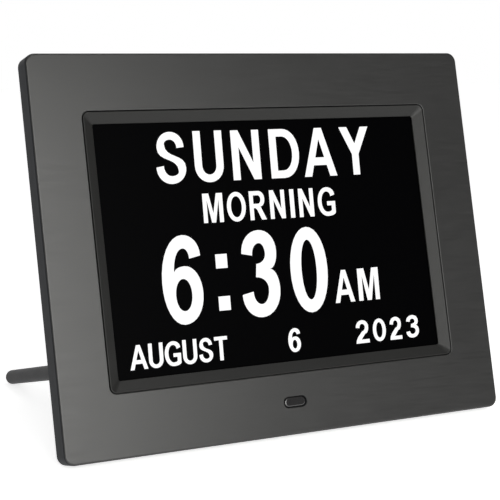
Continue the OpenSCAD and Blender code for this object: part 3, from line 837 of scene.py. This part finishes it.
@dataclass
class FrontFrame:
    """The flat front with its rim: one moulding, with an opening for the ring and a slot for the window."""

    corner: float = 4.2
    edge: float = 0.9
    wall: float = 2.2
    rim: float = 2.5
    rim_soft: float = 0.3
    rim_steps: int = 3
    face_share: float = 0.45
    opening: Point2 = (166.5, 115.1)
    opening_corner: float = 3.05
    opening_soft: float = 0.35
    slot: Point2 = (11.1, 4.8)
    slot_chamfer: float = 0.2

    def build(self) -> None:
        """Builds the frame from its front edge round the rim to the inside, then fills front and inside."""
        low, high = UPRIGHT.span("front_frame")
        size = (high.x - low.x, high.z - low.z)
        middle = (0.0, (low.z + high.z) / 2)
        depth = high.y
        bench = Bench()
        steps = arc((-self.edge, self.edge), self.edge, -90, 0)
        steps += arc((-self.rim_soft, depth - self.rim_soft), self.rim_soft, 0, 90, self.rim_steps)
        steps += [(-self.rim, depth), (-self.rim, self.wall)]
        outside = bench.stack(size, self.corner, middle, steps)
        ring_middle = (0.0, UPRIGHT.middle("lcd_glass").z)
        steps = arc((self.opening_soft, self.opening_soft), self.opening_soft, -90, -180)
        opening = bench.stack(self.opening, self.opening_corner, ring_middle, steps + [(0.0, self.wall)])
        slot_middle = (0.0, UPRIGHT.middle("ir_window").z)
        steps = [(self.slot_chamfer, 0.0), (0.0, self.slot_chamfer), (0.0, self.wall)]
        slot = bench.stack(self.slot, None, slot_middle, steps)
        for end in (0, -1):
            bench.sheet(outside[end], opening[end], slot[end])
        # The rim faces behind the front edge take the rim colour, which carries painted shade and a painted
        # sky reflection besides its matt plastic.
        bench.fit(
            "front_moulding",
            FACE_FILM,
            replaces=("front_frame",),
            back_finish=RIM_PLASTIC_WITH_PAINTED_SHADE,
            back_from=self.edge * self.face_share,
        )


@dataclass
class ScreenRing:
    """The ring that slopes in to the sunk screen, with its glue edge behind the frame."""

    screen: Point2 = (156.4, 105.0)
    screen_corner: float = 0.9
    slope: float = 4.4
    slope_corner: float = 2.4
    corner_reach: float = 1.2
    sink: float = 2.6
    land: float = 0.3
    step: float = 2.2
    flange: float = 3.35
    soft: float = 0.3
    inner_soft: float = 0.1

    def build(self) -> None:
        """Builds the ring as one closed band of loops."""
        middle = (0.0, UPRIGHT.middle("lcd_glass").z)
        back = UPRIGHT.span("screen_bezel")[1].y
        lip = arc((-self.soft, self.soft), self.soft, -90, 0)
        inner = self.screen_corner
        edge = self.slope + self.land
        steps = [(edge + margin, y) for margin, y in reversed(lip)]
        steps += [(self.inner_soft, self.sink - self.inner_soft / 2), (0.0, self.sink + self.inner_soft)]
        steps += [(0.0, back), (edge + self.flange, back), (edge + self.flange, self.step), (edge, self.step)]
        bench = Bench()
        loops = []
        for margin, y in steps:
            corner = inner + (self.slope_corner - inner) * min(margin / self.slope, self.corner_reach)
            loops.append(bench.outline(grown(self.screen, margin), corner, middle, y))
        bench.skin(loops, closed=True)
        bench.fit("screen_ring", SATIN_RING, replaces=("screen_bezel",))


@dataclass
class RemoteWindow:
    """The smoked pill-shaped window in front of the remote control's receiver."""

    pill: Point2 = (10.3, 4.0)
    soft: float = 0.65
    front: float = 0.15
    flange: float = 1.6
    flange_depth: float = 0.8

    def build(self) -> None:
        """Builds the window with a rounded front edge and its wider foot behind the frame."""
        middle = (0.0, UPRIGHT.middle("ir_window").z)
        back = UPRIGHT.span("ir_window")[1].y
        step = back - self.flange_depth
        steps = arc((-self.soft, self.front + self.soft), self.soft, -90, 0)
        steps += [(0.0, step), (self.flange, step), (self.flange, back)]
        bench = Bench()
        loops = bench.stack(self.pill, None, middle, steps)
        bench.cap(loops)
        bench.fit("remote_window", SMOKED_WINDOW, replaces=("ir_window",))


# ---- characters on the display


# Outlines of the characters, and of the holes in them. A point is its share of the width and of the height,
# where s, b and d stand for the shares of a stem, of a bar and of a dot's height, and L or S for a level or
# steep bend. Without either letter it is a corner.
GLYPHS = {
    "A": (
        "0 0, .39 1, .61 1, 1 0, .78 0, .696364 .23, .303636 .23, .22 0",
        ".361818 .39, .638182 .39, .5 .77",
    ),
    "D": ("0 0, 0 1, .46 1 L, 1 .5 S, .46 0 L", "s b, s 1-b, .43 1-b L, 1-s .5 S, .43 b L"),
    "G": (
        "1 .51, .53 .51, .53 .51-b, 1-s .51-b, 1-s .22, .54 b L, s .5 S, .52 1-b L, .75 .68, "
        ".98 .735, .53 1 L, 0 .5 S, .54 0 L, 1 .135",
    ),
    "I": ("0 0, 0 1, 1 1, 1 0",),
    "M": ("0 0, 0 1, .31 1, .5 .32, .69 1, 1 1, 1 0, 1-s 0, 1-s .79, .6 0, .4 0, s .79, s 0",),
    "N": ("0 0, 0 1, 1.04s 1, 1-s .34, 1-s 1, 1 1, 1 0, 1-1.04s 0, s .66, s 0",),
    "O": ("0 .5 S, .5 1 L, 1 .5 S, .5 0 L", "s .5 S, .5 1-b L, 1-s .5 S, .5 b L"),
    "R": (
        "0 0, 0 1, .56 1 L, .93 .72 S, .66 .46, 1 0, .7 0, .45 .35, .36 .41, s .41, s 0",
        "s .41+b, s 1-b, .52 1-b L, .93-s .71 S, .52 .41+b L",
    ),
    "S": (
        ".965 .7, .51 1 L, .05 .7 S, 1-s .235 S, .51 b L, .25 .35, 0 .325, .5 0 L, 1 .3 S, "
        ".05+s .765 S, .5 1-b L, .72 .685",
    ),
    "T": ("0 1, 1 1, 1 1-b, .5+.5s 1-b, .5+.5s 0, .5-.5s 0, .5-.5s 1-b, 0 1-b",),
    "U": ("0 1, 0 .33 S, .5 0 L, 1 .33 S, 1 1, 1-s 1, 1-s .33 S, .5 b L, s .33 S, s 1",),
    "Y": ("0 1, .27 1, .5 .65, .73 1, 1 1, .5+.5s .43, .5+.5s 0, .5-.5s 0, .5-.5s .43",),
    "0": ("0 .5 S, .5 1 L, 1 .5 S, .5 0 L", "s .5 S, .5 1-b L, 1-s .5 S, .5 b L"),
    "2": (
        ".04 .69, .52 1 L, .97 .71 S, .72 .41, .4 b, 1 b, 1 0, 0 0, .04 .14, .17 .29, .5 .52, "
        ".97-s .7 S, .5 1-b L, .31 .665",
    ),
    "3": (
        ".05 .74, .53 1 L, .97 .75 S, .76 .545, 1 .31 S, .48 0 L, 0 .272, .29 .3, .49 b L, "
        "1-s .32 S, .385 .461, .42 .613, .97-s .725 S, .52 1-b L, .326 .712",
    ),
    "6": (
        ".99 .758, .56 1 L, 0 .48 S, .5 0 L, 1 .33 S, .58 .65 L, .31 .575, .56 1-b L, .71 .731",
        ".02+s .33 S, .52 .51 L, 1.02-s .33 S, .52 .15 L",
    ),
    ":": ("0 0, 0 d, 1 d, 1 0", "0 1-d, 0 1, 1 1, 1 1-d"),
}
TERM = re.compile(r"([+-]?)(?=[\d.sbd])([\d.]*)([sbd]?)")


@dataclass(frozen=True)
class Face:
    """One character's size and stroke widths in millimetres, and how much taller than wide its dots are."""

    width: float
    height: float
    stem: float
    bar: float
    dot: float = 1.1

    def draw(self, character: str) -> list[Contour]:
        """The contours of a capital letter, digit or colon; one inside another is a hole."""
        return [[self._point(*spot.split()) for spot in text.split(", ")] for text in GLYPHS[character]]

    def _point(self, across: str, up: str, bend: str = "C") -> tuple[float, float, Bend]:
        """One point of an outline, in millimetres, with its bend."""
        return self._share(across) * self.width, self._share(up) * self.height, Bend(bend)

    def _share(self, text: str) -> float:
        """A share of the width or height.

        Args:
            text: A sum of numbers and letters, as in the outlines.

        Returns:
            The share.
        """
        parts = {"": 1.0, "s": self.stem / self.width, "b": self.bar / self.height}
        parts["d"] = self.width / self.height * self.dot
        return sum(float(sign + (number or "1")) * parts[part] for sign, number, part in TERM.findall(text))


@dataclass(frozen=True)
class Contours:
    """Turns contours into a thin flat mesh, through a filled curve."""

    thickness: float
    fullness: float = 0.57
    sweep: float = 0.62
    steps: int = 8

    def mesh(self, contours: Sequence[Contour], move: Matrix) -> bpy.types.Mesh:
        """The filled shape as a mesh that faces the viewer, in the upright pose.

        Args:
            contours: Contours of points (across, up, bend).
            move: Where it goes in the upright pose.

        Returns:
            The mesh.
        """
        curve = bpy.data.curves.new("contours", "CURVE")
        curve.dimensions = "2D"
        curve.fill_mode = "BOTH"
        curve.resolution_u = self.steps
        curve.extrude = self.thickness / 2
        for contour in contours:
            self._spline(curve, contour)
        holder = bpy.data.objects.new("contours", curve)
        made = bpy.data.meshes.new_from_object(holder)
        bpy.data.objects.remove(holder)
        bpy.data.curves.remove(curve)
        made.transform(move @ Matrix.Rotation(math.pi / 2, 4, "X"))
        return made

    def _spline(self, curve: bpy.types.Curve, contour: Contour) -> None:
        """Adds one closed contour.

        Args:
            curve: The curve that it goes to.
            contour: The contour.
        """
        spline = curve.splines.new("BEZIER")
        spline.bezier_points.add(len(contour) - 1)
        spline.use_cyclic_u = True
        count = len(contour)
        for i, (here, knot) in enumerate(zip(contour, spline.bezier_points)):
            knot.handle_left_type = knot.handle_right_type = "FREE"
            knot.co = (here[0], here[1], 0)
            knot.handle_left = (*self._handle(here, contour[i - 1]), 0)
            knot.handle_right = (*self._handle(here, contour[(i + 1) % count]), 0)

    def _handle(self, here: Sequence, other: Sequence) -> Point2:
        """The handle at one point of the stretch to its neighbour.

        Args:
            here: The point.
            other: Its neighbour.

        Returns:
            The handle's place.
        """
        run, rise = other[0] - here[0], other[1] - here[1]
        bends = here[2], other[2]
        if bends == (Bend.CORNER, Bend.CORNER):
            return here[0] + run / 3, here[1] + rise / 3
        alike = bends[0] == bends[1]
        share = self.sweep if alike else self.fullness
        level = here[2] == Bend.LEVEL or bends == (Bend.CORNER, Bend.STEEP)
        return (here[0] + share * run, here[1]) if level else (here[0], here[1] + share * rise)


@dataclass(frozen=True)
class Line:
    """One line of the readout: its letters' left and right edges, its height span and its strokes."""

    name: str
    text: str
    edges: tuple[Point2, ...]
    base: float
    top: float
    stem: float
    bar: float


# Left and right edges of each line's characters, in millimetres from the middle of the face.
DAY_X = ((-51.4, -37.1), (-33.7, -19.4), (-15.8, -1.5), (2.7, 17.9), (19.3, 36.6), (38.5, 54.5))
PART_X = ((-32, -22.2), (-20.7, -11.3), (-9.8, -1.5), (0.1, 7.9), (10.1, 12.6), (14.5, 22.3), (24.1, 33.3))
TIME_X = ((-54.7, -35.1), (-29.3, -23.1), (-17.9, 1.6), (6.2, 25.9))
HALF_X = ((27.6, 38.1), (39.8, 51.1))
MONTH_X = ((-72.1, -63.9), (-63.7, -56.9), (-56.5, -48.9), (-48.3, -41.5), (-40.9, -34.2), (-33.6, -27.2))
DATE_X = ((1.7, 8.1),)
YEAR_X = ((35.8, 43), (44.8, 51.9), (53.6, 60.3), (62.4, 69.5))


@dataclass
class Display:
    """The black display with its lit characters: day, part of day, time and date."""

    slant: float = 1.8
    proud: float = 0.03
    edge: float = 0.2
    corner: float = 0.5
    round_letters: str = "GOSU"
    overshoot: float = 0.016
    colon_span: Point2 = (0.118, 0.756)
    lines: tuple[Line, ...] = (
        Line("day", "SUNDAY", DAY_X, 110.4, 132.0, 3.45, 3.3),
        Line("part_of_day", "MORNING", PART_X, 92.8, 105.3, 1.9, 1.85),
        Line("time", "6:30", TIME_X, 51.0, 88.4, 5.5, 5.6),
        Line("half_of_day", "AM", HALF_X, 54.0, 68.3, 2.2, 2.2),
        Line("month", "AUGUST", MONTH_X, 34.7, 44.7, 1.65, 1.5),
        Line("date", "6", DATE_X, 34.7, 45.0, 1.9, 1.6),
        Line("year", "2023", YEAR_X, 35.3, 45.4, 1.75, 1.6),
    )

    def build(self) -> None:
        """Builds the display's face and every line of characters."""
        low, high = UPRIGHT.span("lcd_glass")
        size = (high.x - low.x, high.z - low.z)
        middle = (0.0, (low.z + high.z) / 2)
        bench = Bench()
        steps = [(-self.edge, low.y), (0.0, low.y + self.edge)]
        steps += [(0.0, high.y - self.edge), (-self.edge, high.y)]
        loops = [bench.outline(grown(size, margin), self.corner, middle, y) for margin, y in steps]
        bench.skin(loops)
        bench.cap(loops)
        bench.fit("display_face", BLACK_SCREEN, replaces=("lcd_glass",))
        for line in self.lines:
            self._line(line, low.y)

    def _line(self, line: Line, face: float) -> None:
        """Puts one line of characters on the display.

        Args:
            line: The line.
            face: Depth of the display's face.
        """
        bench = Bench()
        maker = Contours(self.proud)
        shear = Matrix.Identity(4)
        shear[0][2] = math.tan(math.radians(self.slant))
        for character, (left, right) in zip(line.text, line.edges):
            low, top = self._height(line, character)
            lean_in = shear[0][2] * (top - low)
            shape = Face(right - left - lean_in, top - low, line.stem, line.bar)
            move = Matrix.Translation((left, face - self.proud / 2, low)) @ shear
            bench.add(maker.mesh(shape.draw(character), move))
        bench.fit("readout_" + line.name, LIT_CHARACTER)

    def _height(self, line: Line, character: str) -> Point2:
        """Height span of a character: round letters reach past the line, and the colon is lower.

        Args:
            line: Its line.
            character: The character.

        Returns:
            Its lowest and highest point.
        """
        height = line.top - line.base
        if character == ":":
            return line.base + self.colon_span[0] * height, line.base + self.colon_span[1] * height
        if character in self.round_letters:
            return line.base - self.overshoot * height, line.top + self.overshoot / 2 * height
        return line.base, line.top


# ---- back of the clock


@dataclass
class StandRod:
    """The one screw-in rod that props the clock up."""

    seat_soft: float = 0.4
    seat_steps: int = 4
    end_steps: int = 14
    around: int = 64
    stud: float = 2.5
    stud_chamfer: float = 0.4
    stud_length: float = 12.0

    def build(self) -> None:
        """Spins the rod with its plain threaded end and its round tip."""
        low, high = UPRIGHT.span("stand_rod")
        radius = (high.x - low.x) / 2
        axis = ((low.x + high.x) / 2, (low.z + high.z) / 2)
        root = low.y + self.stud_length
        chamfer, soft = self.stud_chamfer, self.seat_soft
        profile = [(0.0, low.y), (self.stud - chamfer, low.y), (self.stud, low.y + chamfer)]
        profile += [(self.stud, root), (radius - soft, root)]
        profile += arc((radius - soft, root + soft), soft, -90, 0, self.seat_steps)[1:]
        profile += arc((0.0, high.y - radius), radius, 0, 90, self.end_steps)
        bench = Bench()
        bench.turned(profile, axis, self.around)
        bench.fit("prop_rod", PLATED_ROD, "stand_rod", ("stand_rod",))


@dataclass
class KeySymbol:
    """The printed symbol on a push button, drawn as the user sees it from behind, in millimetres."""

    key: Key
    stroke: float = 0.7
    reach: float = 1.7
    wedge_base: float = -1.1
    menu_rows: tuple[float, ...] = (-1.2, 0.0, 1.2)
    ring_middle: Point2 = (0.0, -0.1)
    ring_span: Point2 = (125.0, 415.0)
    ring_steps: int = 24

    def contours(self) -> list[Contour]:
        """Draws the symbol round the button's middle.

        Returns:
            Its contours.
        """
        if self.key is Key.POWER:
            return self._power()
        if self.key is Key.MENU:
            return [self._bar((-self.reach, z), (self.reach, z)) for z in self.menu_rows]
        if self.key is Key.OK:
            return [self._bar((-1.6, -0.1), (-0.5, -1.2)), self._bar((-0.75, -1.2), (1.6, 1.25))]
        if self.key is Key.BACK:
            return [self._wedge(90, 0.8, -0.9), self._bar((-0.4, 0), (1.9, 0))]
        return [self._wedge(0 if self.key is Key.UP else 180)]

    def _bar(self, start: Point2, end: Point2) -> Contour:
        """A straight stroke.

        Args:
            start: Its first end.
            end: Its other end.

        Returns:
            Its contour.
        """
        run = Vector((end[0] - start[0], end[1] - start[1])).normalized()
        side = Vector((-run.y, run.x)) * self.stroke / 2
        corners = [Vector(start) + side, Vector(end) + side, Vector(end) - side, Vector(start) - side]
        return [(c.x, c.y, Bend.CORNER) for c in corners]

    def _wedge(self, turn: float, scale: float = 1.0, shift: float = 0.0) -> Contour:
        """A triangle that points up, scaled and turned.

        Args:
            turn: How many degrees it is turned to the left.
            scale: How much larger it is drawn.
            shift: How far it is moved across, in millimetres.

        Returns:
            Its contour.
        """
        spots = [(0.0, self.reach), (self.reach, self.wedge_base), (-self.reach, self.wedge_base)]
        turned = [Matrix.Rotation(math.radians(turn), 2) @ (Vector(spot) * scale) for spot in spots]
        return [(spot.x + shift, spot.y, Bend.CORNER) for spot in turned]

    def _power(self) -> list[Contour]:
        """An open ring with a stroke in its gap.

        Returns:
            The ring's and the stroke's contours.
        """
        start, end = self.ring_span
        outer = arc(self.ring_middle, self.reach, start, end, self.ring_steps)
        inner = arc(self.ring_middle, self.reach - self.stroke, end, start, self.ring_steps)
        return [[(x, z, Bend.CORNER) for x, z in outer + inner], self._bar((0, 0.2), (0, 2.0))]


@dataclass
class PushButtons:
    """The column of six push buttons on the back, with their printed symbols."""

    foot_height: float = 1.0
    foot_rim: float = 1.0
    foot_chamfer: float = 0.2
    soft: float = 0.7
    soft_steps: int = 6
    symbol_rise: float = 0.12
    symbol_sink: float = 0.01

    def build(self) -> None:
        """Builds every button where its node is."""
        for key in Key:
            self._button(key)

    def _button(self, key: Key) -> None:
        """Builds the foot of a button, its shaft with a soft top, and its symbol.

        Args:
            key: The button.
        """
        node, body = key.value + "_button", key.value + "_key"
        low, high = UPRIGHT.span(node)
        axis = ((low.x + high.x) / 2, (low.z + high.z) / 2)
        foot = (high.x - low.x) / 2
        shaft = foot - self.foot_rim
        top = high.y - self.symbol_rise
        profile = [(0.0, low.y), (foot - self.foot_chamfer, low.y), (foot, low.y + self.foot_chamfer)]
        profile += [(foot, low.y + self.foot_height), (shaft, low.y + self.foot_height)]
        profile += arc((shaft - self.soft, top - self.soft), self.soft, 0, 90, self.soft_steps)
        profile += [(0.0, top)]
        bench = Bench()
        bench.turned(profile, axis)
        bench.fit(key.value + "_cap", SOFT_BUTTON, body, (node,))
        seen_from_behind = Matrix.Scale(-1, 4, (1, 0, 0))
        depth = top + self.symbol_rise / 2 - self.symbol_sink
        move = Matrix.Translation((axis[0], depth, axis[1])) @ seen_from_behind
        bench = Bench()
        for contour in KeySymbol(key).contours():
            bench.add(Contours(self.symbol_rise).mesh([contour], move))
        bench.fit(key.value + "_symbol", PRINTED_WHITE, body)


@dataclass
class RearShell:
    """The rear cover with its case screws and the power inlet, as the model has them.

    Each piece is a copy with its loose triangles merged, so that its round faces shade round.
    """

    pieces: tuple[tuple[str, str, Finish, str], ...] = (
        ("rear_cover", "rear_shell", SPARK_BLACK, "cover_black"),
        ("case_screws", "cross_screws", ZINC_STEEL, "steel"),
        ("dc_jack", "power_inlet", BLACK_MOULDING, "chip"),
        ("jack_pin", "inlet_pin", ZINC_STEEL, "steel"),
        ("rod_insert", "brass_insert", TURNED_BRASS, "brass"),
    )

    def build(self) -> None:
        """Shows a merged copy of each piece with its finish."""
        for node, name, finish, slot in self.pieces:
            bench = Bench()
            bench.add(frame["nodes"][node].data.copy())
            bench.fit(name, finish, replaces=(node,), drawn=False)


@dataclass
class Inside:
    """What is inside the clock: the model's own pieces, each with its finish."""

    finishes: tuple[tuple[Finish, str], ...] = (
        (BLACK_FOAM, "screen_gasket speaker_gasket"),
        (CLEAR_SHEET, "light_guide"),
        (CREAM_MOULDING, "backlight_bar board_sockets"),
        (SHEET_STEEL, "display_tray tray_brackets board_parts"),
        (AMBER_FLEX, "display_flex"),
        (CREAM_RIBBON, "ir_ribbon key_ribbon"),
        (SOLDER_MASK, "ir_board main_board key_board"),
        (BLACK_MOULDING, "ir_receiver processor memory_chips cell_holder speaker_frame"),
        (ZINC_STEEL, "coin_cell key_switches small_screws"),
        (FERRITE, "speaker_magnet"),
        (CONE_PAPER, "speaker_cone"),
        (LEAD_JACKET, "speaker_lead"),
    )

    def dress(self) -> None:
        """Gives every node its material."""
        plungers = " ".join(key.value + "_plunger" for key in Key)
        for finish, names in self.finishes + ((CREAM_MOULDING, plungers),):
            for name in names.split():
                mesh = frame["nodes"][name].data
                mesh.materials.clear()
                mesh.materials.append(finish.material())
                log.info("%s: %s", name, finish.name)


# ---- studio


@dataclass(frozen=True)
class Lamp:
    """A rectangular lamp: its place, width and height, and the brightness of its face, where 1 is white."""

    name: str
    spot: tuple[float, float, float]
    size: Point2
    radiance: float


@dataclass
class Studio:
    """The camera at the photograph's viewpoint, a pale floor and soft light."""

    eye: tuple[float, float, float] = (-0.29206, -0.59063, 0.16078)
    heading: float = 27.796
    pitch: float = -7.716
    roll: float = 0.134
    lens: float = 102.27
    sensor: float = 36.0
    floor_size: float = 12.0
    floor_colour: Colour = (0.95, 0.95, 0.95)
    floor_lift: float = 0.72
    sky: float = 0.3
    lamp_colour: Colour = (1.0, 0.997, 0.965)
    lamp_aim: tuple[float, float, float] = (0.0, 0.0, 0.08)
    lamps: tuple[Lamp, ...] = (
        Lamp("key_softbox", (-0.1, -1.25, 0.33), (1.05, 0.8), 6.3),
        Lamp("top_softbox", (0.31, -0.57, 1.42), (0.3, 0.3), 6.0),
    )
    front_sky: float = 0.1
    ceiling: float = 0.4
    backdrop_depth: Point2 = (-0.1, 0.4)
    backdrop_height: Point2 = (0.75, 0.35)
    ceiling_height: Point2 = (0.7, 0.9)

    def build(self) -> None:
        """Builds the camera, floor, world and lamps."""
        self._camera()
        self._floor()
        self._world()
        for lamp in self.lamps:
            self._softbox(lamp)
        log.info("studio ready")

    def _camera(self) -> None:
        """Camera at the photograph's viewing angle."""
        data = bpy.data.cameras.new("camera")
        data.lens = self.lens
        data.sensor_width = self.sensor
        camera = shown("camera", data)
        camera.location = self.eye
        turn = (90 + self.pitch, self.roll, -self.heading)
        camera.rotation_euler = [math.radians(a) for a in turn]
        bpy.context.scene.camera = camera

    def _floor(self) -> None:
        """Plain pale floor, which the camera and reflections see a little brighter than it is lit."""
        bm = bmesh.new()
        bmesh.ops.create_grid(bm, x_segments=1, y_segments=1, size=self.floor_size / 2)
        mesh = bpy.data.meshes.new("floor")
        bm.to_mesh(mesh)
        bm.free()
        material = bpy.data.materials.new("pale_floor")
        graph = Graph(material)
        rays = graph.node("LightPath")
        seen = graph.value(rays, "Is Camera Ray") | graph.value(rays, "Is Glossy Ray")
        seen = seen | graph.value(rays, "Is Transmission Ray")
        matt = graph.node("BsdfDiffuse", {"Color": (*self.floor_colour, 1.0)})
        lift = graph.node("Emission", {"Color": (1, 1, 1, 1), "Strength": self.floor_lift * seen})
        both = graph.node("AddShader", {"Shader": matt.outputs[0], "Shader_001": lift.outputs[0]})
        graph.surface(both)
        mesh.materials.append(material)
        floor = shown("floor", mesh)

    def _world(self) -> None:
        """Dim studio: white for the camera; gloss sees a white backdrop at the back and a pale ceiling."""
        world = bpy.data.worlds.new("studio")
        bpy.context.scene.world = world
        graph = Graph(world)
        rays = graph.node("LightPath")
        way = graph.node("SeparateXYZ", {"Vector": graph.value(graph.node("TexCoord"), "Generated")})
        depth, height = graph.value(way, "Y"), graph.value(way, "Z")
        backdrop = self._soft_step(graph, depth, self.backdrop_depth)
        backdrop = backdrop * self._soft_step(graph, height, self.backdrop_height)
        gloss = graph.value(rays, "Is Glossy Ray") | graph.value(rays, "Is Transmission Ray")
        ceiling = self.ceiling * self._soft_step(graph, height, self.ceiling_height)
        level = self.sky + gloss * (self.front_sky - self.sky + (1 - self.front_sky) * backdrop + ceiling)
        level = level | graph.value(rays, "Is Camera Ray")
        graph.surface(graph.node("Background", {"Color": (1, 1, 1, 1), "Strength": level}))

    def _soft_step(self, graph: Graph, value: Value, span: Point2) -> Value:
        """Rises smoothly from 0 to 1 as a value goes from the span's start to its end."""
        inputs = {"Value": value, "From Min": span[0], "From Max": span[1]}
        return graph.value(graph.node("MapRange", inputs, interpolation_type="SMOOTHSTEP"), "Result")

    def _softbox(self, lamp: Lamp) -> None:
        """Sets up one lamp.

        Args:
            lamp: The lamp, which is turned to face the clock.
        """
        data = bpy.data.lights.new(lamp.name, "AREA")
        data.shape = "RECTANGLE"
        data.size, data.size_y = lamp.size
        data.color = self.lamp_colour
        data.energy = lamp.radiance * math.pi * lamp.size[0] * lamp.size[1]
        box = shown(lamp.name, data)
        box.location = lamp.spot
        aim = Vector(self.lamp_aim) - Vector(lamp.spot)
        box.rotation_euler = aim.to_track_quat("-Z", "Y").to_euler()


def main() -> None:
    """Builds the clock's looks round the frame, and the studio round the clock."""
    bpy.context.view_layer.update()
    front = (FrontFrame(), ScreenRing(), RemoteWindow(), Display())
    for assembly in front + (StandRod(), PushButtons(), RearShell()):
        assembly.build()
    Inside().dress()
    Studio().build()
    bpy.context.scene.view_settings.view_transform = "Standard"


if __name__ == "__main__":
    main()
